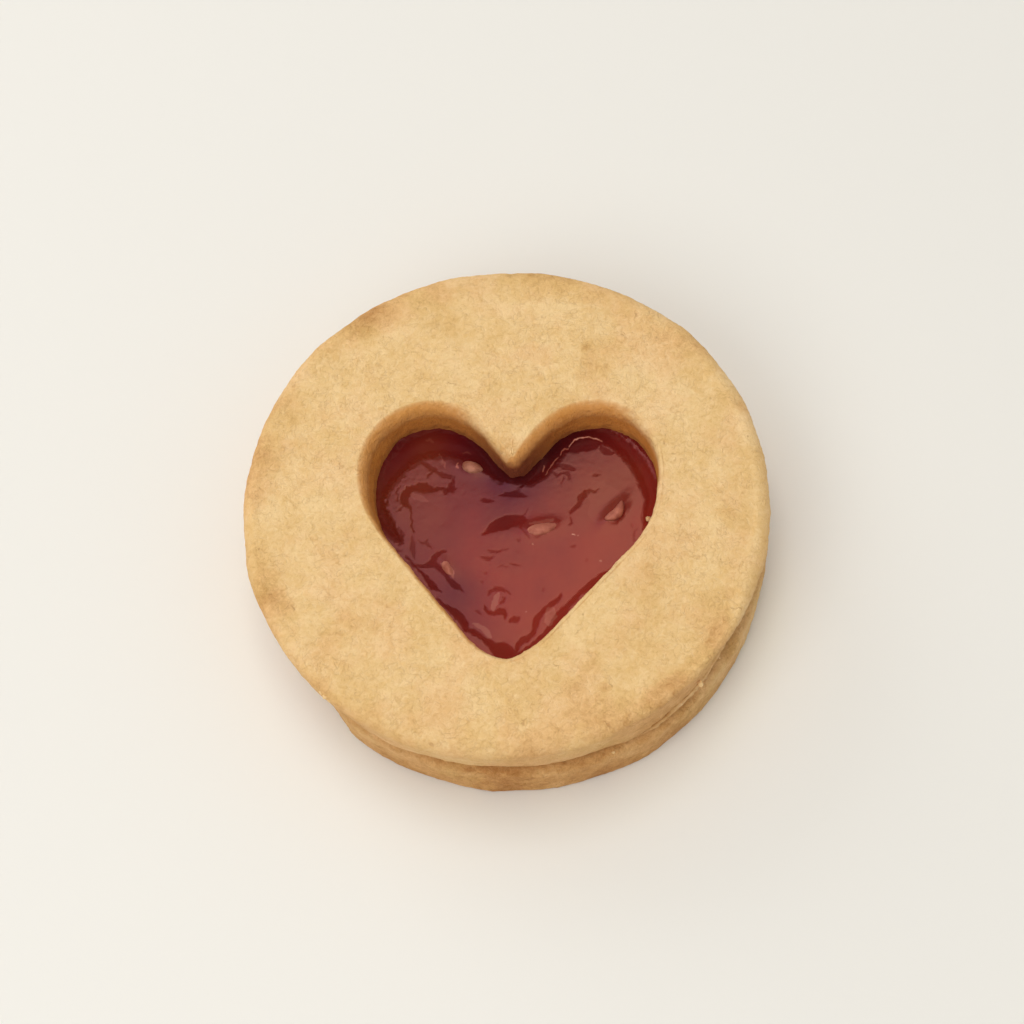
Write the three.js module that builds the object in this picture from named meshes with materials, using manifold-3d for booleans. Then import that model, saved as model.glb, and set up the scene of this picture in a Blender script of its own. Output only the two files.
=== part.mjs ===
// Linzer cookie: two round butter biscuits with raspberry jam between them. The upper biscuit has a
// heart-shaped window, where the jam stands up with raspberry seeds in its surface.
// Millimetres, +Z up. The origin is on the table under the middle of the upper biscuit, and the heart
// points towards -Y.

import * as THREE from 'three';
import { mergeVertices } from 'three/addons/utils/BufferGeometryUtils.js';
import Module from 'manifold-3d';

const wasm = await Module();
wasm.setup();

const degrees = THREE.MathUtils.degToRad;

// The whole cookie
const UPPER_RADIUS = 27.95; // widest a little below the top edge, where the cutter went in
const LOWER_RADIUS = 27.35;
const FOOT_RADIUS = 27.1; // both biscuits draw in slightly towards their undersides
const BISCUIT_THICKNESS = 6.75;
const JAM_BETWEEN = 0.5; // the thin jam layer that holds the biscuits together
const LOWER_MIDDLE = { x: 0.6, y: -0.2 }; // the upper biscuit was set down slightly off centre

// Rounded edges: how far each reaches in from the side, and how far down or up
const TOP_EDGE = { across: 1.7, down: 1.35 };
const FOOT_EDGE = { across: 0.45, down: 0.45 };
const WINDOW_RIM = { across: 0.65, down: 0.8 };
const WINDOW_DRAFT = 0.25; // the window is this much tighter at the underside than under its rim

// Unevenness of the rolled, cut and baked dough
const OUTLINE_WOBBLE = 0.07;
const FOOT_WOBBLE = 0.1;
const FACE_SWELL = 0.09;
const FOOT_BULGE = { out: 0.65, at: degrees(310), spread: degrees(15) }; // the dough spread here in the oven

// The jam
const JAM_RADIUS = 25.2; // spread between the biscuits, short of their edge
const JAM_DEPTH = 4.9; // from the top face down to the jam in the window
const JAM_RIPPLE = 0.13;
const JAM_CLIMB = 0.3; // where the jam clings to the window's wall
const JAM_CLIMBS_FROM = 0.84; // share of the way from the heart's middle to the wall
const JAM_EDGE_WOBBLE = 0.5;
const WALL_GAP = 0.3; // clearance between the jam and the window's wall
const SEED = { long: 2.5, wide: 1.5, high: 1.2, proud: 0.3 };

// The heart-shaped window, measured from its own axis. Half of its outline runs from the tip of the
// biscuit's tongue, over a lobe, round the widest place and down a straight flank to the heart's tip.
// A pull is how far a curve's control point lies from its end.
const HEART = {
  axisX: 0.72,
  tongueY: 4.9,
  tongueRadius: 1.0,
  tongueSlope: degrees(50),
  tonguePull: 2.8,
  lobeTop: new THREE.Vector2(8.7, 11.0),
  widest: new THREE.Vector2(15.55, 3.7),
  lobePull: 4,
  onFlank: new THREE.Vector2(8.07, -10),
  flankAbove: 6.6, // the straight stretch above that point on the flank, and below it
  flankBelow: 6.2,
  flankPull: 3,
  leftSlope: degrees(51.2),
  rightSlope: degrees(48.4),
  tipPull: 2.8,
  tipY: -17.3,
};
const RIM_FULL_FROM = 7; // the rim's rounding fades out over this distance from the tongue's tip

const UPPER_BASE = BISCUIT_THICKNESS + JAM_BETWEEN;
const TOP = UPPER_BASE + BISCUIT_THICKNESS;
const JAM_TOP = TOP - JAM_DEPTH;

// A few crossing waves, between about -1 and 1, for a surface that is nearly flat.
const FACE_WAVES = [
  { across: 0.41, along: 0.27, phase: 0.4 },
  { across: -0.33, along: 0.62, phase: 1.9 },
  { across: 0.95, along: -0.44, phase: 3.1 },
  { across: -0.78, along: -1.12, phase: 5.0 },
];
function swell(x, y) {
  const sum = FACE_WAVES.reduce((total, w) => total + Math.sin(w.across * x + w.along * y + w.phase), 0);
  return sum / FACE_WAVES.length;
}

// The same for an outline, by the number of waves in a turn.
function wobble(turn, phase) {
  const sum = [3, 7, 12, 19].reduce((total, count, k) => total + Math.sin(count * turn + phase * (k + 1)), 0);
  return sum / 2;
}

// The extra radius of the upper biscuit's foot where its dough spread.
function bulge(turn) {
  const away = (turn - FOOT_BULGE.at) / FOOT_BULGE.spread;
  return FOOT_BULGE.out * Math.exp(-away * away);
}

function curve(start, startPull, endPull, end) {
  return new THREE.CubicBezierCurve(start, start.clone().add(startPull), end.clone().add(endPull), end);
}

// One half of the window's outline for x > 0, from the tongue to the tip.
function heartHalf(slope) {
  const v = (x, y) => new THREE.Vector2(x, y);
  const turned = (angle, length) => v(Math.cos(angle) * length, Math.sin(angle) * length);

  const radius = HEART.tongueRadius;
  const down = -Math.PI / 2;
  const turnEnd = down + HEART.tongueSlope;
  const tongue = new THREE.EllipseCurve(0, HEART.tongueY + radius, radius, radius, down, turnEnd);

  const inwards = v(-HEART.lobePull, 0);
  const outwards = v(HEART.lobePull, 0);
  const upwards = v(0, HEART.lobePull);
  const downwards = v(0, -HEART.lobePull);
  const flankTop = HEART.onFlank.clone().add(turned(slope, HEART.flankAbove));
  const flankEnd = HEART.onFlank.clone().sub(turned(slope, HEART.flankBelow));
  const tipControl = flankEnd.clone().sub(turned(slope, HEART.tipPull));

  const stretches = [
    [tongue, 3],
    [curve(tongue.getPoint(1), turned(HEART.tongueSlope, HEART.tonguePull), inwards, HEART.lobeTop), 11],
    [curve(HEART.lobeTop, outwards, upwards, HEART.widest), 9],
    [curve(HEART.widest, downwards, turned(slope, HEART.flankPull), flankTop), 8],
    [new THREE.LineCurve(flankTop, flankEnd), 12],
    [new THREE.QuadraticBezierCurve(flankEnd, tipControl, v(0, HEART.tipY)), 5],
  ];
  return stretches.flatMap(([line, steps], k) => line.getSpacedPoints(steps).slice(k === 0 ? 0 : 1));
}

// The whole outline, anticlockwise from the tongue, each point with its direction into the biscuit and the
// turn at which it is seen from the heart's middle.
const heartMiddle = new THREE.Vector2(HEART.axisX, (HEART.lobeTop.y + HEART.tipY) / 2);
const tongueTip = new THREE.Vector2(HEART.axisX, HEART.tongueY);
function heartOutline() {
  const left = heartHalf(HEART.leftSlope).map((p) => new THREE.Vector2(HEART.axisX - p.x, p.y));
  const right = heartHalf(HEART.rightSlope).map((p) => new THREE.Vector2(HEART.axisX + p.x, p.y));
  const points = [...left, ...right.reverse().slice(1, -1)];
  return points.map((point, i) => {
    const before = points.at(i - 1);
    const after = points[(i + 1) % points.length];
    const along = after.clone().sub(before).normalize();
    const out = new THREE.Vector2(along.y, -along.x);
    return { point, out, turn: point.clone().sub(heartMiddle).angle() };
  });
}
const outline = heartOutline();

// The window's outline moved out into the biscuit, or inwards where the distance is negative. The tongue's
// rim is hardly flared.
function heartRing(distance, height) {
  return outline.map(({ point, out }) => {
    const fromTongue = point.distanceTo(tongueTip);
    const share = distance > 0 ? THREE.MathUtils.smoothstep(fromTongue, 0, RIM_FULL_FROM) : 1;
    return new THREE.Vector3(point.x + out.x * distance * share, point.y + out.y * distance * share, height);
  });
}

function roundRing(turns, middle, radius, height) {
  return turns.map((turn) => {
    const r = radius(turn);
    return new THREE.Vector3(middle.x + Math.cos(turn) * r, middle.y + Math.sin(turn) * r, height);
  });
}

// Rings at even steps between two rings, without the two themselves.
function ringsBetween(first, last, steps) {
  const parts = Array.from({ length: steps - 1 }, (_, k) => (k + 1) / steps);
  return parts.map((part) => first.map((p, i) => p.clone().lerp(last[i], part)));
}

function lift(ring, amount) {
  return ring.map((p) => new THREE.Vector3(p.x, p.y, p.z + amount(p)));
}

// Joins rings of points into one closed skin. A ring of one point is a pole. With loop set, the last ring
// is joined to the first.
function skin(rings, loop = false) {
  const offsets = rings.map((_, k) => rings.slice(0, k).reduce((sum, ring) => sum + ring.length, 0));
  const index = (k, i) => offsets[k] + (i % rings[k].length);
  const faces = [];
  for (let k = 0; k < (loop ? rings.length : rings.length - 1); k++) {
    const next = (k + 1) % rings.length;
    const count = Math.max(rings[k].length, rings[next].length);
    for (let i = 0; i < count; i++) {
      const [a, b, c, d] = [index(k, i), index(next, i), index(next, i + 1), index(k, i + 1)];
      if (b !== c) faces.push(a, b, c);
      if (a !== d) faces.push(a, c, d);
    }
  }
  const geometry = new THREE.BufferGeometry().setFromPoints(rings.flat());
  geometry.setIndex(faces);
  return geometry;
}

// The round side of a biscuit from its top edge to its underside: the top edge's rounding, the slightly
// tapering side and the small rounding at the foot.
function side(turns, middle, widest, foot, base) {
  const top = base + BISCUIT_THICKNESS;
  const rings = [];
  for (const step of [1, 2, 3, 4]) {
    const a = (step / 4) * (Math.PI / 2);
    const inset = TOP_EDGE.across * (1 - Math.sin(a));
    rings.push(roundRing(turns, middle, (t) => widest(t) - inset, top - TOP_EDGE.down * (1 - Math.cos(a))));
  }
  const footStart = base + FOOT_EDGE.down;
  rings.push(...ringsBetween(rings.at(-1), roundRing(turns, middle, foot, footStart), 3));
  for (const step of [0, 1, 2]) {
    const a = (step / 2) * (Math.PI / 2);
    const inset = FOOT_EDGE.across * (1 - Math.cos(a));
    rings.push(roundRing(turns, middle, (t) => foot(t) - inset, footStart - FOOT_EDGE.down * Math.sin(a)));
  }
  return rings;
}

// The upper biscuit: a ring of dough round the window, flat below where it lies on the jam.
function upperBiscuit() {
  const turns = outline.map((p) => p.turn);
  const middle = { x: 0, y: 0 };
  const widest = (t) => UPPER_RADIUS + OUTLINE_WOBBLE * wobble(t, 1.3);
  const foot = (t) => FOOT_RADIUS + bulge(t) + FOOT_WOBBLE * wobble(t, 2.1);

  const wallBottom = heartRing(-WINDOW_DRAFT, UPPER_BASE);
  const wallTop = heartRing(0, TOP - WINDOW_RIM.down);
  const rim = [1, 2, 3].map((step) => {
    const a = (step / 3) * (Math.PI / 2);
    const height = TOP - WINDOW_RIM.down * (1 - Math.sin(a));
    return heartRing(WINDOW_RIM.across * (1 - Math.cos(a)), height);
  });
  const edgeStart = roundRing(turns, middle, (t) => widest(t) - TOP_EDGE.across, TOP);
  const face = [rim.at(-1), ...ringsBetween(rim.at(-1), edgeStart, 10), edgeStart];
  const unevenFace = face.map((ring) => lift(ring, (p) => FACE_SWELL * (swell(p.x, p.y) - 1)));
  const outside = side(turns, middle, widest, foot, UPPER_BASE);
  return skin(
    [
      wallBottom,
      ...ringsBetween(wallBottom, wallTop, 3),
      wallTop,
      ...rim.slice(0, -1),
      ...unevenFace,
      ...outside,
      ...ringsBetween(outside.at(-1), wallBottom, 3),
    ],
    true,
  );
}

// The lower biscuit: a whole disc with flat faces, pale above and browned below.
function lowerBiscuit() {
  const count = 96;
  const turns = Array.from({ length: count }, (_, i) => (i / count) * 2 * Math.PI);
  const widest = (t) => LOWER_RADIUS + OUTLINE_WOBBLE * wobble(t, 4.2);
  const foot = (t) => FOOT_RADIUS + FOOT_WOBBLE * wobble(t, 0.6);
  const flat = (share, height) => {
    return roundRing(turns, LOWER_MIDDLE, (t) => (widest(t) - TOP_EDGE.across) * share, height);
  };
  const pole = (height) => [new THREE.Vector3(LOWER_MIDDLE.x, LOWER_MIDDLE.y, height)];
  return skin([
    pole(BISCUIT_THICKNESS),
    flat(0.5, BISCUIT_THICKNESS),
    flat(1, BISCUIT_THICKNESS),
    ...side(turns, LOWER_MIDDLE, widest, foot, 0),
    flat(0.5, 0),
    pole(0),
  ]);
}

// The jam: a thin layer between the biscuits that rises into the window. Its surface is rippled and climbs
// a little at the wall.
function jamBody() {
  const turns = outline.map((p) => p.turn);
  const poolWall = -(WINDOW_DRAFT + WALL_GAP);
  const edge = heartRing(poolWall, JAM_TOP);
  const pole = (height) => [new THREE.Vector3(heartMiddle.x, heartMiddle.y, height)];
  const surface = [0.18, 0.34, 0.5, 0.64, 0.77, 0.88, 0.95, 1].map((share) => {
    const climb = JAM_CLIMB * THREE.MathUtils.smoothstep(share, JAM_CLIMBS_FROM, 1);
    const ring = edge.map((p) => new THREE.Vector3(heartMiddle.x, heartMiddle.y, JAM_TOP).lerp(p, share));
    return lift(ring, (p) => climb + JAM_RIPPLE * swell(1.6 * p.x + 3, 1.6 * p.y));
  });
  const spread = (height) => {
    return roundRing(turns, { x: 0, y: 0 }, (t) => JAM_RADIUS + JAM_EDGE_WOBBLE * wobble(t, 3.3), height);
  };
  return skin([
    pole(JAM_TOP),
    ...surface,
    heartRing(poolWall, UPPER_BASE),
    spread(UPPER_BASE),
    spread(BISCUIT_THICKNESS),
    pole(BISCUIT_THICKNESS),
  ]);
}

// Raspberry seeds that show in the jam: where each lies, and how far its long side is turned from X.
const SEEDS = [
  { x: -4.0, y: 6.4, turn: degrees(-20) },
  { x: 3.6, y: -0.7, turn: degrees(8) },
  { x: 11.4, y: 1.1, turn: degrees(52) },
  { x: -6.3, y: -5.2, turn: degrees(-62) },
  { x: -1.0, y: -9.2, turn: degrees(78) },
  { x: -2.5, y: -12.2, turn: degrees(-32) },
  { x: 4.9, y: -10.8, turn: degrees(35) },
  { x: -9.7, y: 2.7, turn: degrees(-8) },
];
function seedBody({ x, y, turn }) {
  const geometry = new THREE.SphereGeometry(0.5, 7, 4).rotateX(Math.PI / 2);
  geometry.scale(SEED.long, SEED.wide, SEED.high).rotateZ(turn);
  return geometry.translate(x, y, JAM_TOP + SEED.proud - SEED.high / 2);
}

function solid(geometry) {
  const bare = new THREE.BufferGeometry().setAttribute('position', geometry.getAttribute('position'));
  bare.setIndex(geometry.getIndex());
  const merged = mergeVertices(bare, 1e-4);
  const vertProperties = merged.getAttribute('position').array;
  const triVerts = new Uint32Array(merged.getIndex().array);
  return new wasm.Manifold(new wasm.Mesh({ numProp: 3, vertProperties, triVerts }));
}

function jam() {
  const fused = SEEDS.reduce((whole, seed) => whole.add(solid(seedBody(seed))), solid(jamBody()));
  const mesh = fused.getMesh();
  const geometry = new THREE.BufferGeometry();
  geometry.setAttribute('position', new THREE.BufferAttribute(mesh.vertProperties, 3));
  geometry.setIndex(new THREE.BufferAttribute(mesh.triVerts, 1));
  return geometry;
}

const goldenBiscuit = new THREE.MeshStandardMaterial({ color: 0xe4bb7f, roughness: 0.85, metalness: 0 });
const brownedBiscuit = new THREE.MeshStandardMaterial({ color: 0xcb9a5f, roughness: 0.85, metalness: 0 });
const raspberryJam = new THREE.MeshStandardMaterial({ color: 0x7a1f18, roughness: 0.15, metalness: 0 });

function piece(name, geometry, material) {
  geometry.computeVertexNormals();
  const mesh = new THREE.Mesh(geometry, material);
  mesh.name = name;
  return mesh;
}

const cookie = new THREE.Group();
cookie.name = 'linzer_cookie';
cookie.add(piece('lower_biscuit', lowerBiscuit(), brownedBiscuit));
cookie.add(piece('jam', jam(), raspberryJam));
cookie.add(piece('upper_biscuit', upperBiscuit(), goldenBiscuit));

export default cookie;
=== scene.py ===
from math import atan2, cos, degrees, exp, hypot, pi, radians, sin, tau

import bmesh
import bpy
from mathutils import Matrix, Vector, kdtree, noise
from mathutils.geometry import interpolate_bezier


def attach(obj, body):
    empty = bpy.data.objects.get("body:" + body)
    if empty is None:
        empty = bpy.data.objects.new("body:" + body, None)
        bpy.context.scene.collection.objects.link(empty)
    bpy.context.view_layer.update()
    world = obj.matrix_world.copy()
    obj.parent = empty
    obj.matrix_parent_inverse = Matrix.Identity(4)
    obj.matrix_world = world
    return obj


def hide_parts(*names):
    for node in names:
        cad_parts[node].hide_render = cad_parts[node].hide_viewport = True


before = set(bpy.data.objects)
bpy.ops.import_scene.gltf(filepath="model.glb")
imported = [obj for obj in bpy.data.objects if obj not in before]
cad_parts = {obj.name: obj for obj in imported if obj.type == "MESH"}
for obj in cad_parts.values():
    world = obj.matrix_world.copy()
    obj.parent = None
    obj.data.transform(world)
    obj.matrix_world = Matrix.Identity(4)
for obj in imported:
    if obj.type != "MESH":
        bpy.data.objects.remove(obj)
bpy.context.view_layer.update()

# The lower biscuit: a whole disc of butter dough, rolled out, cut with a round cutter and baked. It is pale
# on its flat top, which the jam covers, and browned at its side and underside, where the tray was hot.
# Lengths are in millimetres until shape() makes them metres.
THICKNESS = 6.75
UPPER_RADIUS = 27.95
LOWER_RADIUS = 27.35
FOOT_RADIUS = 27.1
LOWER_MIDDLE = Vector((0.6, -0.2))
TOP_EDGE = (1.7, 1.35)
FOOT_EDGE = (0.45, 0.45)
OUTLINE_WOBBLE = 0.07
FOOT_WOBBLE = 0.1
# How far the lower biscuit reaches out more or less than a circle: turn in degrees and amount
LOWER_TRIM = (
    (0, -0.1), (20, 0), (190, 0), (212, -0.9), (221, -0.85), (226.5, -0.4), (231, 0.2), (236, 0.15), (241, 0),
    (262, 0), (285, 0.12), (305, 0.12), (320, -0.1), (335, -0.22), (350, -0.2), (360, -0.1),
)


def smooth(low, high, x):
    """From 0 below low to 1 above high, with soft ends."""
    t = min(max((x - low) / (high - low), 0), 1)
    return t * t * (3 - 2 * t)


def wobble(turn, phase):
    """The unevenness of a cut outline, between about -1 and 1."""
    return sum(sin(count * turn + phase * (k + 1)) for k, count in enumerate((3, 7, 12, 19))) / 2


def along(table, at):
    """Reads a table of pairs at a place between its first and last, in straight lines."""
    for (a, first), (b, last) in zip(table, table[1:]):
        if at < b:
            break
    return first + (last - first) * (at - a) / (b - a)


def sector(p, start, full, fades, gone):
    """How far a place lies in a sector about the middle, given by its turns in degrees, with soft sides."""
    turn = degrees(atan2(p.y, p.x)) % 360
    return smooth(start, full, turn) * smooth(gone, fades, turn)


def spun(row_count, turn_count, place, poles=False, loop=False):
    """A skin of rows, each a full turn: spun as a plain cylinder, and then put in place point by point."""
    bm = bmesh.new()
    ends = (0, row_count - 1) if poles else ()
    line = [bm.verts.new((0 if row in ends else 1, 0, row)) for row in range(row_count)]
    for a, b in zip(line, line[1:]):
        bm.edges.new((a, b))
    if loop:
        bm.edges.new((line[-1], line[0]))
    spin = {"cent": (0, 0, 0), "axis": (0, 0, 1), "angle": tau, "steps": turn_count}
    bmesh.ops.spin(bm, geom=bm.verts[:] + bm.edges[:], use_merge=True, **spin)
    bmesh.ops.remove_doubles(bm, verts=bm.verts, dist=1e-5)
    for v in bm.verts:
        step = round(atan2(v.co.y, v.co.x) / tau * turn_count) % turn_count
        v.co = place(round(v.co.z), step)
    bm.normal_update()
    bmesh.ops.recalc_face_normals(bm, faces=bm.faces)
    bm.normal_update()
    return bm


def shape(name, bm, material, body="root"):
    """Makes a piece from a mesh in millimetres."""
    bmesh.ops.scale(bm, vec=(0.001,) * 3, verts=bm.verts)
    for face in bm.faces:
        face.smooth = True
    mesh = bpy.data.meshes.new(name)
    bm.to_mesh(mesh)
    bm.free()
    mesh.materials.append(material)
    piece = bpy.data.objects.new(name, mesh)
    bpy.context.collection.objects.link(piece)
    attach(piece, body)
    return piece


def quarter(count, across, down):
    """Steps round a quarter turn from flat to upright, as pairs of inset and drop."""
    angles = [(k + 1) / count * pi / 2 for k in range(count)]
    return [(across * (1 - sin(a)), down * (1 - cos(a))) for a in angles]


def side_rows(base):
    """Rows down a biscuit's side: share of the way to the foot, inset from the outline, and height."""
    top = base + THICKNESS
    rows = [(0, inset, top - drop) for inset, drop in quarter(10, *TOP_EDGE)]
    start, end = top - TOP_EDGE[1], base + FOOT_EDGE[1]
    rows += [(k / 32, 0, start + (end - start) * k / 32) for k in range(1, 33)]
    curl = reversed(quarter(4, *FOOT_EDGE))
    return rows + [(1, inset, base + drop) for inset, drop in curl] + [(1, FOOT_EDGE[0], base)]


def crumbly(p, normal, base):
    """How far baked dough stands out or in at a point: crags and layers on the side, finer on the faces."""
    upright = 1 - abs(normal.z)
    fine = noise.fractal(p * 1.9, 0.8, 2.1, 3)
    layered = noise.fractal(Vector((p.x * 0.7, p.y * 0.7, p.z * 2.6)), 0.7, 2.0, 3)
    broad = noise.noise(p * 0.28)
    uneven = noise.fractal(Vector((p.x * 0.5, p.y * 0.5, p.z * 0.2)), 0.8, 2.1, 3)
    bump = 0.022 * fine + 0.05 * broad + upright * (0.05 * layered + 0.035 * fine + 0.1 * uneven)
    nearest = noise.voronoi(p * 0.62, distance_metric="DISTANCE", exponent=2.5)[0][0]
    pick = noise.noise(p * 0.21 + Vector((7, 3, 5)))
    pit = smooth(0.26, 0.08, nearest) * smooth(0.18, 0.4, pick)
    return bump - pit * (0.12 + 0.1 * upright)


def roughen(bm, base, amount=crumbly):
    """Moves each point along its own normal, and leaves the flat underside flat."""
    moves = [(v, v.normal.copy(), v.co.copy()) for v in bm.verts]
    for v, normal, p in moves:
        free = smooth(base + 0.02, base + 0.5, p.z)
        v.co = p + normal * amount(p, normal, base) * free


def add(tree, kind, sockets=None, **settings):
    """Adds a shader node, and sets or links its sockets."""
    made = tree.nodes.new(kind)
    for key, value in settings.items():
        setattr(made, key, value)
    for key, value in (sockets or {}).items():
        if isinstance(value, bpy.types.NodeSocket):
            tree.links.new(value, made.inputs[key])
        else:
            made.inputs[key].default_value = value
    return made


def arithmetic(tree, operation, *values, clamp=False):
    sockets = dict(enumerate(values))
    return add(tree, "ShaderNodeMath", sockets, operation=operation, use_clamp=clamp).outputs[0]


def between(tree, value, low, high):
    """0 below low and 1 above high."""
    sockets = {"Value": value, "From Min": low, "From Max": high}
    return add(tree, "ShaderNodeMapRange", sockets, interpolation_type="SMOOTHSTEP").outputs[0]


def ramp(tree, value, stops):
    made = add(tree, "ShaderNodeValToRGB", {"Fac": value})
    points = made.color_ramp.elements
    while len(points) < len(stops):
        points.new(0.5)
    for point, (at, color) in zip(points, stops):
        point.position = at
        point.color = (*color, 1)
    return made.outputs[0]


def mixed(tree, share, first, second):
    made = add(tree, "ShaderNodeMix", {"Factor": share}, data_type="RGBA")
    for key, value in (("A", first), ("B", second)):
        socket = next(s for s in made.inputs if s.name == key and s.type == "RGBA")
        if isinstance(value, bpy.types.NodeSocket):
            tree.links.new(value, socket)
        else:
            socket.default_value = (*value, 1)
    return next(s for s in made.outputs if s.type == "RGBA")


def millimetres(tree):
    coords = add(tree, "ShaderNodeTexCoord").outputs["Object"]
    return add(tree, "ShaderNodeVectorMath", {0: coords, "Scale": 1000}, operation="SCALE").outputs[0]


ROSY = (
    (0.0, (0.945, 0.648, 0.334)), (0.33, (0.842, 0.516, 0.225)),
    (0.62, (0.67, 0.362, 0.131)), (1.0, (0.40, 0.158, 0.04)),
)
GOLDEN = (
    (0.0, (0.93, 0.652, 0.324)), (0.33, (0.822, 0.524, 0.213)),
    (0.62, (0.65, 0.371, 0.124)), (1.0, (0.40, 0.166, 0.036)),
)
# Pores, hairline cracks and wrinkles are painted in this colour, as the shade in them
CRACK = (0.50, 0.23, 0.075)
# Painted shade and bounce light on the window's wall, and fat-darkened dough, are mixed towards this
SOAKING_AND_SHADE = (0.70, 0.262, 0.036)
# Jam-coloured dough, and the painted shade round the tongue and at the wall's foot, are mixed towards this
STAINING_AND_SHADE = (0.20, 0.04, 0.018)


def baked_dough():
    """Butter dough after baking: mottled gold, browner and in places painted darker as shade where it says
    so, with pores, hairline cracks and wrinkles painted darker as the shade in them.
    """
    tree = bpy.data.node_groups.new("baked_dough", "ShaderNodeTree")
    tree.interface.new_socket("Brown_and_shade", in_out="INPUT", socket_type="NodeSocketFloat")
    for name, kind in (("Color", "NodeSocketColor"), ("Height", "NodeSocketFloat")):
        tree.interface.new_socket(name, in_out="OUTPUT", socket_type=kind)
    browned_and_shaded = add(tree, "NodeGroupInput").outputs["Brown_and_shade"]
    place = millimetres(tree)

    def grain(scale, detail=2, roughness=0.5, distortion=0.0):
        sockets = {"Vector": place, "Scale": scale, "Detail": detail, "Roughness": roughness}
        sockets["Distortion"] = distortion
        return add(tree, "ShaderNodeTexNoise", sockets).outputs["Fac"]

    broad = grain(0.12, 2, 0.6)
    mottle = grain(0.42, 3, 0.6, 0.4)
    flake = grain(1.6, 4, 0.65, 0.9)
    crumb = grain(4.5, 3, 0.6)
    shade = arithmetic(tree, "MULTIPLY_ADD", broad, 0.55, browned_and_shaded)
    shade = arithmetic(tree, "MULTIPLY_ADD", mottle, 0.6, shade)
    shade = arithmetic(tree, "MULTIPLY_ADD", flake, 0.7, shade)
    shade = arithmetic(tree, "MULTIPLY_ADD", crumb, 0.36, shade)
    shade = arithmetic(tree, "SUBTRACT", shade, 0.94, clamp=True)
    hue = arithmetic(tree, "MULTIPLY_ADD", browned_and_shaded, -0.35, grain(0.16, 3, 0.6))
    color = mixed(tree, between(tree, hue, 0.33, 0.57), ramp(tree, shade, ROSY), ramp(tree, shade, GOLDEN))

    pores = add(tree, "ShaderNodeTexVoronoi", {"Vector": place, "Scale": 0.7})
    chosen = add(tree, "ShaderNodeSeparateColor", {0: pores.outputs["Color"]}).outputs[0]
    pore = between(tree, pores.outputs["Distance"], 0.11, 0.05)
    pore = arithmetic(tree, "MULTIPLY", pore, between(tree, chosen, 0.94, 0.97))

    bent = add(tree, "ShaderNodeTexNoise", {"Vector": place, "Scale": 0.9, "Detail": 3}).outputs["Color"]
    sockets = {0: bent, 1: (1.8, 1.8, 1.8), 2: place}
    moved = add(tree, "ShaderNodeVectorMath", sockets, operation="MULTIPLY_ADD").outputs[0]
    cells = add(tree, "ShaderNodeTexVoronoi", {"Vector": moved, "Scale": 0.42}, feature="DISTANCE_TO_EDGE")
    hair = between(tree, cells.outputs["Distance"], 0.042, 0.008)
    hair = arithmetic(tree, "MULTIPLY", hair, between(tree, grain(0.55, 2), 0.64, 0.73))
    off = arithmetic(tree, "ABSOLUTE", arithmetic(tree, "SUBTRACT", grain(1.0, 2, 0.45, 0.2), 0.5))
    wrinkle = between(tree, off, 0.035, 0.004)
    wrinkle = arithmetic(tree, "MULTIPLY", wrinkle, between(tree, grain(0.6, 1), 0.48, 0.58))
    opened = arithmetic(tree, "MAXIMUM", pore, hair)
    # Pores, hairlines and wrinkles: painted shade in them, as well as their bump
    color = mixed(tree, arithmetic(tree, "MULTIPLY", opened, 0.45), color, CRACK)
    color = mixed(tree, arithmetic(tree, "MULTIPLY", wrinkle, 0.17), color, CRACK)
    height = arithmetic(tree, "MULTIPLY_ADD", flake, 1.0, arithmetic(tree, "MULTIPLY", crumb, 0.5))
    height = arithmetic(tree, "MULTIPLY_ADD", mottle, 0.4, height)
    height = arithmetic(tree, "MULTIPLY_ADD", opened, -0.2, height)
    height = arithmetic(tree, "MULTIPLY_ADD", wrinkle, -0.15, height)
    add(tree, "NodeGroupOutput", {"Color": color, "Height": height})
    return tree


dough_group = baked_dough()


def stored(tree, name):
    return add(tree, "ShaderNodeAttribute", attribute_name=name).outputs["Fac"]


def biscuit_material(name, roughness, relief):
    """Matte baked dough; the mesh says how far it is browned, darkened by fat and coloured by jam, and where
    shade and bounce light are painted into its colour.
    """
    material = bpy.data.materials.new(name)
    material.use_nodes = True
    tree = material.node_tree
    surface = tree.nodes["Principled BSDF"]
    dough = add(tree, "ShaderNodeGroup", node_tree=dough_group)
    tree.links.new(stored(tree, "browned_and_shaded"), dough.inputs["Brown_and_shade"])
    color = mixed(tree, stored(tree, "soak_and_shade"), dough.outputs["Color"], SOAKING_AND_SHADE)
    color = mixed(tree, stored(tree, "stain_and_shade"), color, STAINING_AND_SHADE)
    sockets = {"Height": dough.outputs["Height"], "Distance": relief, "Strength": 1.0}
    bump = add(tree, "ShaderNodeBump", sockets)
    tree.links.new(color, surface.inputs["Base Color"])
    tree.links.new(bump.outputs[0], surface.inputs["Normal"])
    surface.inputs["Roughness"].default_value = roughness
    surface.inputs["Specular IOR Level"].default_value = 0.25
    return material


def store(piece, name, amount):
    """Stores a value at each point, worked out from its place in millimetres and its normal."""
    layer = piece.data.attributes.new(name, "FLOAT", "POINT")
    for v, value in zip(piece.data.vertices, layer.data):
        value.value = amount(v.co * 1000, v.normal)


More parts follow.
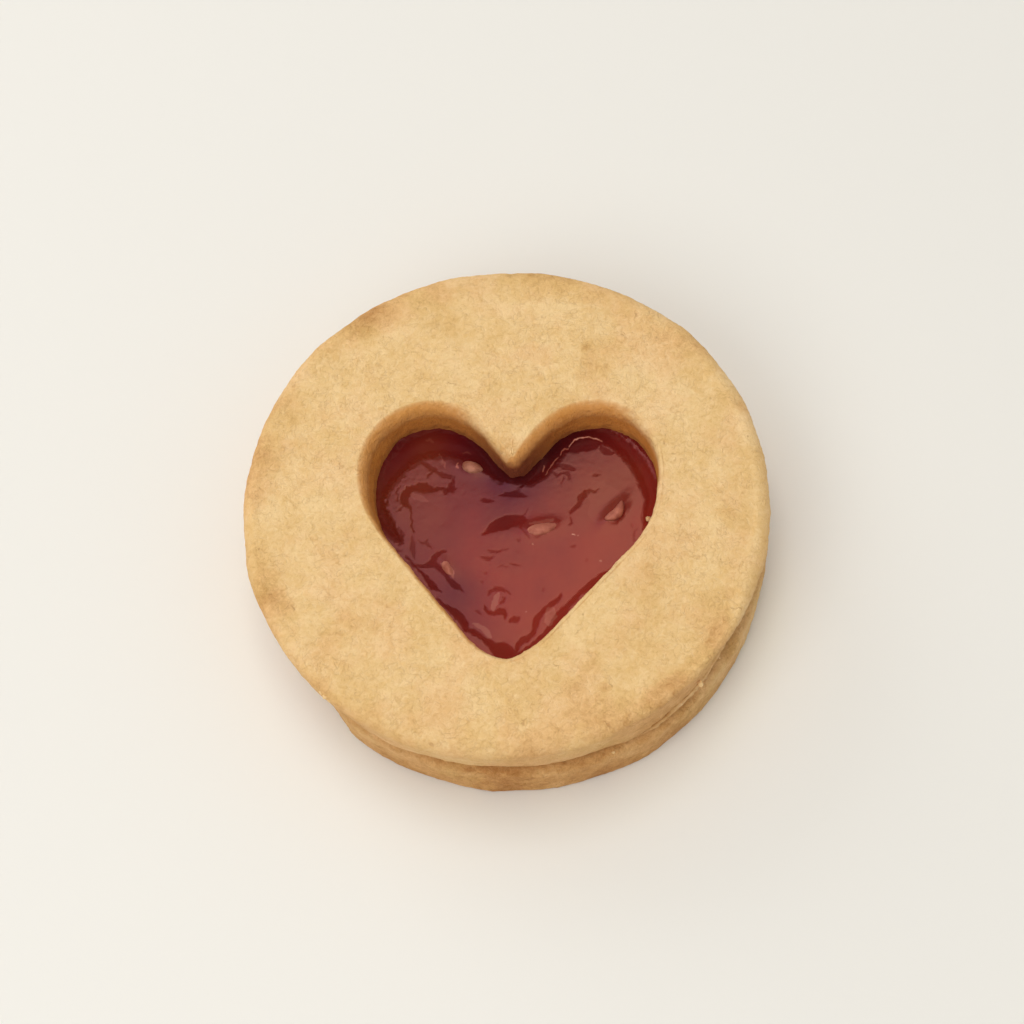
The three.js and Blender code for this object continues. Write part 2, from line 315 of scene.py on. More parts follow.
def lower_biscuit():
    """The disc: its flat top, side and underside as rows from the middle of the top to that of the base."""
    turns = 420
    rows = [(drop, inset, height, 1) for drop, inset, height in side_rows(0)]
    top = [(0, TOP_EDGE[0], THICKNESS, k / 12) for k in range(13)]
    base = [(1, FOOT_EDGE[0], 0, k / 12) for k in range(11, -1, -1)]
    rows = top + rows + base

    def place(row, step):
        drop, inset, height, share = rows[row]
        turn = step / turns * tau
        wide = LOWER_RADIUS + OUTLINE_WOBBLE * wobble(turn, 4.2)
        foot = FOOT_RADIUS + FOOT_WOBBLE * wobble(turn, 0.6)
        radius = (wide + along(LOWER_TRIM, degrees(turn)) + (foot - wide) * drop - inset) * share
        return Vector((LOWER_MIDDLE.x + cos(turn) * radius, LOWER_MIDDLE.y + sin(turn) * radius, height))

    bm = spun(len(rows), turns, place, poles=True)
    roughen(bm, 0)
    return bm


def lower_browned_and_shaded(p, normal):
    low = smooth(5.5, 0.3, p.z)
    patch = noise.noise(Vector((p.x * 0.16, p.y * 0.16, 2.0)))
    # Painted shade at the top edge of the side, under the upper biscuit's overhang
    seam_shade = 0.14 * smooth(THICKNESS - 1.4, THICKNESS - 0.4, p.z) * smooth(23, 25, hypot(p.x, p.y))
    grainy = 0.12 * noise.fractal(p * 1.1, 0.8, 2.1, 3)
    # Paler on two stretches of the side, at the lower right and the lower left: painted light
    fair = 0.3 * sector(p, 309, 326, 346, 359) + 0.1 * sector(p, 200, 215, 236, 252)
    return 0.33 + 0.12 * low + 0.2 * smooth(-0.1, 0.5, patch) + seam_shade + grainy - fair


def lower_soaked(p, normal):
    return 0.13 * smooth(24, 26, hypot(p.x, p.y)) * (1 - sector(p, 306, 326, 342, 358))


lower = shape("lower_biscuit_baked", lower_biscuit(), biscuit_material("browned_dough", 0.8, 0.00024))
store(lower, "browned_and_shaded", lower_browned_and_shaded)
store(lower, "soak_and_shade", lower_soaked)
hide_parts("lower_biscuit")

# The upper biscuit: the same dough with a heart-shaped window cut out before baking. It is paler on top, with
# a rounded edge, a rounded window rim, a crease in its side and a foot that spread at one side in the oven.
JAM_BETWEEN = 0.5
UPPER_BASE = THICKNESS + JAM_BETWEEN
TOP = UPPER_BASE + THICKNESS
JAM_TOP = TOP - 4.9
WINDOW_RIM = (0.65, 0.8)
SOFTER_RIM = 1.4
SOFTER_TOWARDS = Vector((-0.45, 0.89))
TONGUE_DIP = (0.8, 2.0)
TONGUE_RIM = 1.8
# The window's wall leans outward a little towards its top, and this much more where it faces right
WINDOW_DRAFT = 0.25
LEANING = 2.2
FACE_SWELL = 0.09
FACE_WAVES = ((0.41, 0.27, 0.4), (-0.33, 0.62, 1.9), (0.95, -0.44, 3.1), (-0.78, -1.12, 5.0))
FOOT_BULGE = {"out": 0.65, "at": radians(308), "spread": radians(14)}
FOOT_HOLLOW = {"in": 0.35, "at": radians(329), "spread": radians(9)}
# The top edge is rounded less at one side: how much less, and over which turns in degrees
CRISPER = 0.55
CRISPER_FROM = (288, 304)
CRISPER_TO = (345, 331)
# A crease in the side, where the dough folded: turn in degrees and height
CREASE = (
    (296, 7.4), (302, 7.8), (306, 8.7), (309, 9.3), (313, 9.2), (316, 9.1), (319, 9.4), (322, 10.0),
    (325, 11.0), (328, 11.7), (332, 12.2), (340, 12.7),
)
HEART_AXIS = 0.72
HEART_SLOPES = {-1: radians(51.2), 1: radians(48.4)}
HEART_TIP_Y = -17.3
TONGUE_Y = 4.9
TONGUE_RADIUS = 1.0
TONGUE_SLOPE = radians(50)
LOBE_TOP = Vector((8.7, 11.0))
WIDEST = Vector((15.55, 3.7))
ON_FLANK = Vector((8.07, -10))
HEART_MIDDLE = Vector((HEART_AXIS, (LOBE_TOP.y + HEART_TIP_Y) / 2))
TONGUE_TIP = Vector((HEART_AXIS, TONGUE_Y))


def heart_half(side):
    """One half of the window's outline, from the biscuit's tongue over a lobe and down a flank to the tip."""
    slope = HEART_SLOPES[side]
    flank = Vector((cos(slope), sin(slope)))
    angles = [-pi / 2 + TONGUE_SLOPE * k / 12 for k in range(13)]
    points = [Vector((cos(a), sin(a) + 1)) * TONGUE_RADIUS + Vector((0, TONGUE_Y)) for a in angles]
    leave = Vector((cos(TONGUE_SLOPE), sin(TONGUE_SLOPE)))
    flank_top = ON_FLANK + flank * 6.6
    flank_end = ON_FLANK - flank * 6.2
    control = flank_end - flank * 2.8
    tip = Vector((0, HEART_TIP_Y))
    curves = (
        (points[-1], points[-1] + leave * 2.8, LOBE_TOP - Vector((4, 0)), LOBE_TOP),
        (LOBE_TOP, LOBE_TOP + Vector((4, 0)), WIDEST + Vector((0, 4)), WIDEST),
        (WIDEST, WIDEST - Vector((0, 4)), flank_top + flank * 3, flank_top),
        (flank_top, flank_top, flank_end, flank_end),
        (flank_end, flank_end.lerp(control, 2 / 3), tip.lerp(control, 2 / 3), tip),
    )
    for curve in curves:
        points += [p.to_2d() for p in interpolate_bezier(*curve, 60)[1:]]
    return [Vector((HEART_AXIS + side * p.x, p.y)) for p in points]


def heart_outline(count):
    """The window's outline, evenly spaced anticlockwise: each point and its way into the biscuit."""
    loop = heart_half(-1) + heart_half(1)[::-1][1:]
    lengths = [0.0]
    for a, b in zip(loop, loop[1:]):
        lengths.append(lengths[-1] + (b - a).length)
    points, k = [], 0
    for step in range(count):
        want = lengths[-1] * step / count
        while lengths[k + 1] < want:
            k += 1
        share = (want - lengths[k]) / max(lengths[k + 1] - lengths[k], 1e-9)
        points.append(loop[k].lerp(loop[k + 1], share))
    outline = []
    for k, point in enumerate(points):
        ahead = (points[(k + 1) % count] - points[k - 1]).normalized()
        outline.append((point, Vector((ahead.y, -ahead.x))))
    return outline


def heart_turn(point):
    return atan2(point.y - HEART_MIDDLE.y, point.x - HEART_MIDDLE.x) % tau


def swell(x, y):
    return sum(sin(a * x + b * y + phase) for a, b, phase in FACE_WAVES) / len(FACE_WAVES)


def crease(p):
    """How far a place on the side lies above the crease, and how open the crease is there."""
    turn = degrees(atan2(p.y, p.x)) % 360
    if not CREASE[0][0] < turn < CREASE[-1][0]:
        return 9, 0
    line = along(CREASE, turn) + 0.16 * noise.noise(Vector((turn * 0.5, 0, 0)))
    return p.z - line, sector(p, 299, 306, 334, 340) * smooth(22, 24, hypot(p.x, p.y))


def creased(p, normal, base):
    """Baked dough with the crease: a narrow groove over a lip that is frayed and stands out."""
    above, opened = crease(p)
    fray = 0.06 + 0.16 * noise.fractal(p * 1.9, 0.8, 2.1, 3)
    lip = fray * smooth(0.15, -0.2, above) * smooth(-3.0, -0.8, above)
    foot = smooth(base + 1.0, base + 0.2, p.z) * (1 - abs(normal.z)) * 0.14 * noise.noise(p * 0.9)
    return crumbly(p, normal, base) + opened * (lip - 0.42 * exp(-((above / 0.24) ** 2))) + foot


def upper_biscuit():
    """A ring of rows round the window: up its wall, over the face, down the side and back underneath."""
    turns = 540
    outline = heart_outline(turns)
    wall, face, under = 15, 56, 6
    rim_low = TOP - WINDOW_RIM[1]
    rows = []
    for k in range(wall + 1):
        height = UPPER_BASE + (rim_low - UPPER_BASE) * k / wall
        rows.append((0, WINDOW_DRAFT * (k / wall - 1), 0, 0, height, k / wall))
    for k in range(1, 13):
        a = k / 12 * pi / 2
        rows.append((0, WINDOW_RIM[0] * (1 - cos(a)), 0, 0, TOP - WINDOW_RIM[1] * (1 - sin(a)), 1 - sin(a)))
    for k in range(1, face + 1):
        rows.append((k / face, WINDOW_RIM[0], TOP_EDGE[0], 0, TOP, 0))
    for drop, inset, height in side_rows(UPPER_BASE):
        rows.append((1, 0, inset, drop, height, 0))
    for k in range(1, under):
        rows.append((1 - k / under, -WINDOW_DRAFT, FOOT_EDGE[0], 1, UPPER_BASE, 0))

    def place(row, step):
        share, flare, inset, drop, height, below = rows[row]
        point, out = outline[step]
        turn = heart_turn(point)
        softer = SOFTER_RIM * smooth(-0.3, 0.7, out.dot(SOFTER_TOWARDS))
        near = smooth(5, 0, (point - TONGUE_TIP).length)
        fade = (1 + softer) * (1 - near) + TONGUE_RIM * near
        if flare <= 0:
            fade = 1 + LEANING * smooth(0.6, 0.95, -out.x)
        wide = UPPER_RADIUS + OUTLINE_WOBBLE * wobble(turn, 1.3)
        wide += 0.11 * (1 - cos(4 * turn)) * smooth(-0.2, 0.5, sin(turn))
        bulge = FOOT_BULGE["out"] * exp(-(((turn - FOOT_BULGE["at"]) / FOOT_BULGE["spread"]) ** 2))
        bulge -= FOOT_HOLLOW["in"] * exp(-(((turn - FOOT_HOLLOW["at"]) / FOOT_HOLLOW["spread"]) ** 2))
        foot = FOOT_RADIUS + bulge + FOOT_WOBBLE * wobble(turn, 2.1)
        crisp = CRISPER * smooth(*CRISPER_FROM, degrees(turn)) * smooth(*CRISPER_TO, degrees(turn))
        if drop < 1:
            inset *= 1 - crisp
            height += crisp * min(TOP - height, TOP_EDGE[1]) * (1 - drop) * (share == 1)
        radius = wide + (foot - wide) * drop - inset
        spot = (point + out * flare * fade).lerp(Vector((cos(turn), sin(turn))) * radius, share)
        lifted = FACE_SWELL * (swell(spot.x, spot.y) - 1) if height > TOP - 0.01 else 0
        lifted -= WINDOW_RIM[1] * softer * below
        dip = TONGUE_DIP[0] * exp(-(((spot - TONGUE_TIP).length / TONGUE_DIP[1]) ** 2))
        return Vector((spot.x, spot.y, height + lifted - dip * smooth(TOP - 3, TOP - 0.8, height)))

    bm = spun(len(rows), turns, place, loop=True)
    roughen(bm, UPPER_BASE, creased)
    return bm


# Places that browned more: the place, how far it reaches, and how much
BROWNED = (
    (24.4, 12.5, 1.6, 0.30), (25.3, 11.0, 1.0, 0.22), (26.4, 4.6, 1.8, 0.20), (-26, 5.0, 2.6, 0.16),
    (-24.8, -10.6, 2.4, 0.16), (-16.5, 22.3, 3.0, 0.12), (-6.8, 21.1, 1.5, 0.14), (10.1, 14.8, 1.6, 0.20),
    (9.3, 17.2, 1.8, 0.14), (12.0, 19.1, 1.2, 0.14), (22.0, -13.5, 2.2, 0.04), (24.5, -6.0, 2.4, 0.04),
    (9.0, -22.5, 2.4, 0.12), (-6.0, -22.0, 2.2, 0.12), (8.35, 18.3, 0.4, 0.3), (11.0, -20.5, 0.45, 0.3),
)


def upper_browned_and_shaded(p, normal):
    out = hypot(p.x, p.y)
    patch = noise.noise(Vector((p.x * 0.11, p.y * 0.11, 9.0)))
    # The last term paints the face darker towards the right: shade, as the light falls more from the left
    edge = smooth(23, 28, out) * 0.16 * (1 + 2 * patch) + 0.03 * smooth(-10, 20, p.x)
    edge -= 0.1 * exp(-(((p.x - 2) ** 2 + (p.y - 22) ** 2) / 36))
    # Browner at the rim towards the lower right: partly baked colour, partly painted shade where the rounded
    # edge turns from the light
    edge += 0.22 * smooth(25.5, 26.5, out) * sector(p, 298, 312, 324, 335)
    # Paler at the rim on the right: partly painted light, partly paler dough
    edge -= 0.24 * smooth(25.2, 26.8, out) * smooth(22.4, 25.0, p.x)
    ragged = 1 + 0.8 * noise.noise(Vector((p.x * 0.6, p.y * 0.6, 3.0)))
    spots = 0
    for x, y, far, much in BROWNED:
        spots += much * exp(-(((p.x - x) ** 2 + (p.y - y) ** 2) / far ** 2) * ragged)
    spots *= smooth(TOP - 2, TOP - 0.8, p.z)
    side = (1 - abs(normal.z)) * smooth(22, 25, out)
    fronts = 0.07 * sector(p, 285, 305, 342, 358) + 0.08 * sector(p, 200, 215, 245, 270)
    shoulder = smooth(0, 0.3, side) * fronts
    above, opened = crease(p)
    # The crease's dark line is painted shade in it, fainter towards the right, over a paler lip
    crack = (0.85 - 0.6 * sector(p, 320, 330, 342, 358)) * exp(-((above / 0.2) ** 2))
    crack -= 0.24 * smooth(-0.15, -0.4, above)
    underside = 0.3 * smooth(UPPER_BASE + 0.5, UPPER_BASE, p.z) * smooth(24, 26, out)
    return edge + spots + shoulder + opened * crack * smooth(0, 0.3, side) - 0.05 * side + underside


def soak_and_shade_dough(p, normal):
    """How far the window's wall is darkened and made orange: fat from the baking and from the jam, and
    painted shade and bounce light, most on the walls that face away from the light; and the side a little, by
    fat.
    """
    out = hypot(p.x, p.y)
    side = 0.14 * smooth(25, 27, out) * smooth(TOP, TOP - 1.2, p.z)
    # The walls that face away from the light at the back left get more painted shade
    facing = max(-normal.to_2d().dot(SOFTER_TOWARDS), 0.85 * normal.x)
    steep = 0.75 * smooth(0.1, 0.68, facing)
    return max(0.9 * smooth(TOP - 0.2, TOP - 2.4, p.z), steep) * smooth(24, 20, out) + side


def stain_and_shade_dough(p, normal):
    """How far the window's wall is coloured dark at its foot, and more of it round the tongue: partly jam,
    partly painted shade.
    """
    ragged = 0.7 * noise.fractal(p * 0.7, 0.8, 2.0, 3)
    away = smooth(4, 9, abs(p.x - HEART_AXIS))
    foot = (0.66 - 0.25 * away) * smooth(JAM_TOP + 1.7 - 0.4 * away, JAM_TOP + 0.3, p.z + ragged)
    near = exp(-(((p.to_2d() - TONGUE_TIP).length / 6.5) ** 2))
    # Round the tongue this is partly painted shade
    tongue = 0.95 * near * smooth(TOP - 0.5, JAM_TOP + 2.2, p.z + 0.5 * ragged)
    return max(foot, tongue) * smooth(24, 20, hypot(p.x, p.y))


upper = shape("upper_biscuit_baked", upper_biscuit(), biscuit_material("golden_dough", 0.75, 0.0002))
store(upper, "browned_and_shaded", upper_browned_and_shaded)
store(upper, "soak_and_shade", soak_and_shade_dough)
store(upper, "stain_and_shade", stain_and_shade_dough)
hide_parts("upper_biscuit")

# The jam: raspberry jam spread between the biscuits and standing up in the window. It set with a wrinkled,
# glossy skin that falls off towards the walls, and its seeds lie in the surface.
JAM_RADIUS = 25.2
INTO_WALL = 0.12
CELL = 0.085
FOLD_DEPTH = 0.13
DOME_HEIGHT = 0.25
# Where the jam's gloss is cooler, a painted tint of the reflection; where the jam is darker, painted shade,
# mostly near the back walls and the tongue; and where it is browner: a place, its reach, and how much
COOLER = (
    (-1.4, 5.0, 2.0, 0.9), (0.9, 3.2, 2.6, 0.8), (3.2, 4.6, 2.0, 0.35), (-3.4, 0.6, 3.0, 0.25),
    (-5.3, -8.2, 2.6, 0.65), (-2.6, -11.5, 2.0, 0.4), (-1.0, -8.6, 1.8, 0.3), (6.4, -4.0, 3.4, 0.25),
    (3.0, -8.4, 2.4, 0.25),
)
DARKER = (
    (0.7, 5.8, 3.8, 0.9), (-3.0, 8.2, 2.8, 0.45), (4.2, 8.6, 2.6, 0.8), (7.4, 10.4, 2.0, 0.6),
    (10.4, 10.6, 2.0, 0.3), (-5.3, -8.2, 2.6, 0.5), (-0.5, -0.4, 1.6, 0.3),
)
BROWNER = (
    (-13.4, 2.4, 3.4, 0.9), (-9.0, 5.6, 2.8, 0.9), (-9.0, -0.4, 3.6, 0.8), (-8.8, 9.2, 2.2, 0.6),
    (9.8, 3.2, 3.2, 0.9), (12.6, 5.2, 2.4, 0.5),
)
# The camera as fitted to the picture, in degrees, pixels and millimetres. on_jam() uses it too.
CAMERA_AZIMUTH = 10.4
CAMERA_ELEVATION = 66.7
CAMERA_ROLL = -9.7
CAMERA_TARGET = Vector((0.40, 1.53, 8.0))
CAMERA_DISTANCE = 300
FOCAL_PIXELS = 2785
PICTURE_PIXELS = 1024
# The height at which the folds lie, and how wide a pixel is there
FOLDS_AT = JAM_TOP + 0.15
JAM_PIXEL = 0.11
# Folds, where the skin is dull, read from the picture: the strength, and places in pixels along the
# middle of each, with half its width there
FOLDS = {
    "collar from the left flank over both lobes to the right wall": (0.95, (399, 540, 2), (395, 534, 4),
        (385, 522, 6.5), (379.5, 510, 6), (379, 500, 5.5), (381, 488, 8), (387, 475, 10.5),
        (397, 462, 12.5), (409, 450, 14), (424, 443, 15), (441, 441, 15.5), (456, 443, 15), (470, 450, 12),
        (482, 459, 9), (493, 468, 8), (503, 476, 6.5), (515, 480, 5.5), (527, 478, 7.5), (538, 469, 10),
        (546, 458, 11), (555, 447, 10.5), (566, 437.5, 8.5), (578, 431.5, 5.5), (592, 430, 5.5),
        (606, 435, 7), (618, 442, 7), (628, 451, 7), (637, 462, 7), (644, 474, 7), (649, 486, 7),
        (651, 497, 5.5), (650, 507, 5), (647, 515, 3), (645, 521, 1)),
    "below the notch in the right wall": (0.9, (645, 519, 1), (645.5, 524, 2.5), (643, 530, 1)),
    "right flank": (0.95, (626, 558, 0.5), (612, 569, 1), (601, 576, 3), (592, 584, 3.5), (580, 593, 3),
        (572, 602, 2.5), (566, 608, 3.5), (561, 614, 5), (556, 621, 4), (550, 628, 3), (543, 635, 2),
        (534, 643, 1.5), (524, 650, 2), (517, 656, 2)),
    "tip": (0.95, (518, 658, 1), (511, 655, 4), (506, 652, 8), (500, 650, 8.5), (494, 646.5, 5),
        (487, 641.5, 2.8), (479, 635.5, 2.2), (472, 631, 2.4), (466, 628, 3), (463.5, 622, 4.2),
        (457, 614, 4), (449, 608, 2.5), (441, 603, 1.2), (437, 598, 0.8)),
    "left flank": (0.95, (441, 592, 0.8), (437, 590, 1.8), (433, 586.5, 3.4), (428, 580, 2.8),
        (422, 573, 1.4), (415, 566, 1), (406, 556, 0.8)),
    "hook in the left lobe": (0.95, (456, 488, 0.6), (448, 490, 2), (440, 488.5, 1.6), (432, 489, 3),
        (424, 487, 5.5), (415, 488, 4), (407, 491, 4), (404, 496, 4.4), (405, 502, 4), (409, 507, 2),
        (412, 512, 1), (411.5, 520, 0.9), (413, 531, 0.9)),
    "right of the hook": (0.9, (454, 476, 0.8), (453, 482, 2), (451, 487, 4), (447, 491.5, 2.5),
        (444, 494, 0.5)),
    "in the sheen of the left lobe 1": (0.8, (432, 470, 0.8), (430, 474, 1.4), (428, 478, 0.6)),
    "in the sheen of the left lobe 2": (0.8, (424, 463, 2), (428, 466, 2.4), (436, 471, 2.2), (443, 475, 2),
        (450, 477, 2.5)),
    "in the sheen of the left lobe 3": (0.8, (399, 487, 1), (396, 493, 1.2), (398, 500, 0.8)),
    "left of the hook": (0.7, (404, 505.5, 0.6), (399, 509, 1.5), (395, 511.5, 0.5)),
    "left of the middle": (0.85, (480, 500.5, 0.5), (484, 500, 2), (489, 501, 2.2), (494, 501, 0.5)),
    "high in the middle": (0.9, (499, 496, 0.5), (506, 494.5, 2), (514, 494, 3.2), (521, 495, 2.6),
        (527, 496, 0.6)),
    "high in the middle, up": (0.6, (518, 491, 2), (521, 486, 1.2), (524, 482, 0.5)),
    "leaf": (0.95, (482, 534.5, 0.4), (487, 532, 2), (492, 528, 4.5), (499, 525, 6.6), (507, 522, 7),
        (514, 520.5, 6.2), (521, 520, 5), (526, 520, 2)),
    "left of the long seed": (0.55, (527, 509.5, 0.5), (525, 514, 0.9), (521, 517, 1.2), (523.5, 522, 1),
        (520, 527, 1.2), (524, 532, 1.5), (528, 537, 1.2), (530, 539, 0.4)),
    "round the long seed": (0.55, (556, 516, 0.6), (558.5, 521, 1.8), (558, 526, 2.2), (553, 530, 1.4),
        (546, 533, 1.3), (537, 537, 1.4), (533, 538, 0.5)),
    "long diagonal": (0.9, (599.5, 489, 0.5), (595, 491.5, 1.2), (590, 490, 2.2), (585, 493, 3.4),
        (581, 498, 3.6), (580, 503, 2.8), (575, 508, 2), (571, 511.5, 2), (570, 513, 0.6)),
    "under the diagonal": (0.75, (570, 517, 0.6), (571, 520, 1), (571.5, 523, 1.7), (569, 525, 0.8)),
    "patch in the right lobe": (0.75, (551, 466, 1), (554, 465, 2.4), (560, 465.5, 2), (567, 467, 3),
        (573, 468.5, 2.2), (575, 468, 0.5)),
    "patch in the right lobe 2": (0.7, (552, 472, 1.5), (557, 475, 1.8), (562, 473, 1), (567, 473, 2.6),
        (569, 477, 2), (571, 479, 0.5)),
    "patch in the right lobe 3": (0.7, (564, 477, 0.8), (562, 481, 0.8), (561, 483.5, 0.4)),
    "dot in the right lobe": (0.7, (592, 476, 0.5), (595.5, 474.7, 1.8), (600, 474, 0.7)),
    "lens": (0.95, (564.5, 451, 0.8), (570, 449, 3), (577, 446.5, 6), (585, 444.5, 7.4), (592, 443.5, 6),
        (598, 442.5, 3.6), (602, 441.5, 1.2)),
    "right of the lens": (0.85, (600.5, 444.5, 1), (603, 449.5, 3.4), (608, 452, 3), (613, 452.5, 1.6),
        (614, 452.5, 0.5)),
    "middle left 1": (0.7, (480.5, 557, 0.6), (484, 558, 1.8), (488, 559, 2.2), (492, 558, 1.3),
        (494, 557, 0.4)),
    "middle left 2": (0.7, (487.5, 550.5, 0.6), (492, 552, 1.7), (496, 552, 1.4), (500, 551, 0.9),
        (502, 550, 0.4)),
    "middle left 3": (0.6, (503, 550.5, 0.5), (506, 549.8, 1), (509, 549, 0.5)),
    "middle thin 1": (0.55, (498, 567, 0.6), (502, 565.5, 0.9), (506, 567, 0.8), (508, 567.5, 0.3)),
    "middle thin 2": (0.75, (509, 563.5, 0.5), (513, 564.5, 1.3), (517, 565.2, 0.9), (521, 566, 0.3)),
    "dot 1": (0.5, (517, 540, 0.9), (519, 540.5, 1.6), (520, 541, 0.8)),
    "dot 2": (0.5, (484, 573, 0.8), (486, 573.5, 1.3)),
    "dot 3": (0.5, (480, 581.5, 0.8), (482, 582, 1.5)),
    "dot 4": (0.6, (571, 547, 0.8), (573, 546.5, 1.9), (575, 546.5, 0.8)),
    "dot 5": (0.4, (586, 559, 1), (586.5, 561, 1.4)),
    "dot 6": (0.5, (543, 589, 1), (543, 591, 1.1)),
    "dot 7": (0.5, (631, 524.5, 0.8), (633, 526, 1.2)),
    "dot 8": (0.4, (517, 552, 0.8), (518, 553, 0.8)),
    "crescent": (0.85, (445.5, 550.5, 0.8), (441, 552, 1.9), (436.5, 555, 2.4), (433.5, 559.5, 3.6),
        (431, 564, 3.2), (426, 566, 1.8), (419, 565.5, 1.6), (413, 565, 1.3), (408, 562, 0.5)),
    "crescent, down": (0.85, (433, 563, 2.5), (438, 567.5, 3.2), (442, 571, 2.4), (446, 576, 1.8),
        (449, 580, 2), (453, 584, 3.6), (457.5, 587, 3.2), (461, 590, 1.4), (463.5, 592.5, 0.4)),
    "by the left flank 1": (0.55, (400, 530, 1), (402.5, 534, 2.6), (402, 538, 1.5), (399, 541, 0.6)),
    "by the left flank 2": (0.6, (412.5, 537, 0.8), (413, 543, 2.6), (412.5, 549, 3), (413.5, 555, 1.6),
        (414, 558.5, 0.5)),
    "by the left flank 3": (0.65, (417, 539, 0.5), (421, 543, 1), (426, 543, 1.7), (429, 545.5, 1.2),
        (431.5, 547.5, 0.4)),
    "by the left flank 4": (0.6, (426, 543, 1.2), (427, 540, 0.9), (428, 538.5, 0.4)),
    "by the left flank 5": (0.5, (396, 549, 0.8), (399, 550.5, 1.6), (402, 551, 0.6)),
    "ring, top": (0.75, (487.5, 595.5, 0.6), (490.5, 591.5, 1.9), (495, 589, 2.2), (501, 589, 2.2),
        (506, 591, 1.9), (510.5, 594.5, 0.8)),
    "ring, right": (0.7, (503, 596, 0.8), (504.5, 599, 1.6), (503, 602, 1.7), (499.5, 604, 0.6)),
    "ring, bottom": (0.9, (484.5, 606, 0.8), (486, 610, 1.9), (490, 613.5, 2.4), (494.5, 614, 2.3),
        (498.5, 611.5, 3.3), (502.5, 611, 3.2), (505, 614.5, 2.6), (505, 618.5, 1)),
    "left of the ring": (0.6, (474.5, 611, 0.6), (478, 611.5, 2), (481, 613, 1), (482, 614, 0.4)),
    "square by the ring": (0.85, (510.5, 622, 1.5), (513, 620, 3.4), (516, 619.5, 3.2), (519, 617.5, 1)),
    "ridge near the tip": (0.9, (561.5, 594, 0.5), (560, 597, 1.8), (556, 601.5, 2.4), (550, 605.5, 2.5),
        (544.5, 610, 2.8), (539.5, 615, 3.2), (536, 621, 3.3), (534.5, 628, 2.7), (532.5, 634, 3),
        (527.5, 638.5, 3.2), (521.5, 641, 3.2), (518, 645.5, 2.6), (516, 651, 2.2), (516, 657, 1.5)),
    "round disc by the ridge": (0.55, (549, 614, 0.5), (551.5, 613, 0.8), (553.5, 615.5, 0.8),
        (553, 619, 0.8), (550, 620, 0.7), (548.5, 618, 0.5)),
    "arc at the right": (0.5, (637, 528, 0.5), (634, 532, 0.9), (633, 536.5, 1), (634, 541, 0.6)),
    "between flank and tip": (0.7, (473, 629, 0.5), (478, 632.5, 1), (484, 637, 1.5)),
}
# Two more folds by the bent seed, in millimetres
FOLDS_BY_SEED = (
    (0.6, (11.7, 2.45, 0.05), (11.32, 1.85, 0.11), (10.95, 1.1, 0.12), (10.3, 0.45, 0.06)),
    (0.75, (12.7, 1.55, 0.06), (12.62, 0.9, 0.12), (12.25, 0.15, 0.14), (11.65, -0.33, 0.13),
        (10.9, -0.35, 0.06)),
)
# Pulp and film that look paler, with painted highlights and sheen among them, and over 1 painted glints, read
# in the same way
PALER = {
    "crescent's seed": (0.75, (442, 563, 1), (446, 566.5, 2.5), (449.5, 570, 2.8), (452, 574, 2.6),
        (453.5, 577, 1)),
    "in the ring": (0.65, (498, 594, 2), (496, 599, 3), (494.5, 604, 2.8), (493, 609, 2)),
    "above the tip": (0.7, (473, 623.5, 1), (478, 625.5, 2.4), (483, 628.5, 3), (487.5, 633, 2.8),
        (490, 637.5, 1.5)),
    "disc by the ridge": (0.5, (550, 611, 4.5), (551, 616, 6), (549, 622, 4)),
    # Painted sheen patches
    "painted sheen 1": (0.45, (439.5, 453.5, 0.5), (441.5, 458, 1), (443.5, 463, 1.8), (445, 468, 1)),
    "painted sheen 2": (0.3, (426, 440, 1), (430, 439, 1.6), (433, 442, 1)),
    "painted sheen 3": (0.3, (463, 453, 0.5), (467, 452, 1.2), (471, 453.5, 0.6)),
    "bean-shaped patch left": (0.35, (411, 494.5, 2), (416, 496.5, 3.5), (422, 498.5, 3), (427, 501, 1)),
    # Painted highlights along a ridge and beside it
    "arc": (1.6, (569, 447, 0.4), (571, 443.5, 0.6), (575, 439.5, 0.7), (582, 437, 0.8), (590, 437.3, 0.7),
        (597, 438.8, 0.7), (602, 441.3, 0.5)),
    "arc, left": (0.9, (568, 448.8, 0.4), (565, 448.8, 0.6), (562.5, 451.5, 0.6), (560.5, 455, 0.5)),
    "arc, lower": (0.8, (558.5, 457, 0.4), (555, 460.5, 0.6), (551, 465.5, 0.6), (547, 472, 0.5),
        (545, 475, 0.3)),
    "by the arc 1": (0.9, (544, 465.5, 0.4), (543.5, 469, 0.7), (543, 472, 0.5)),
    "by the arc 2": (0.7, (541.5, 457.5, 0.6), (542.5, 458, 0.7)),
    # A painted highlight at the bare seed's end
    "bright at the bare seed": (1.2, (457.5, 463.5, 0.5), (457.2, 466.5, 0.9), (458, 468.5, 0.5)),
    # Painted glints
    "painted glint 1": (1.9, (572.5, 534, 0.8), (574.5, 534.8, 0.8)),
    "painted glint 2": (1.2, (577.5, 535.5, 0.5), (578.5, 535.8, 0.5)),
    "painted glint 3": (1.3, (532.8, 544, 0.7), (533.2, 544.8, 0.7)),
    "painted glint 4": (1.2, (599.5, 560.5, 0.7), (601, 560.8, 0.9)),
    "painted glint 5": (0.9, (526, 611.2, 0.8), (526.3, 611.8, 0.8)),
    "film by the long seed": (0.45, (530, 524, 1), (540, 523, 2), (552, 520.5, 2)),
    "right middle": (0.2, (598, 492, 12), (606, 500, 16), (600, 512, 12)),
}
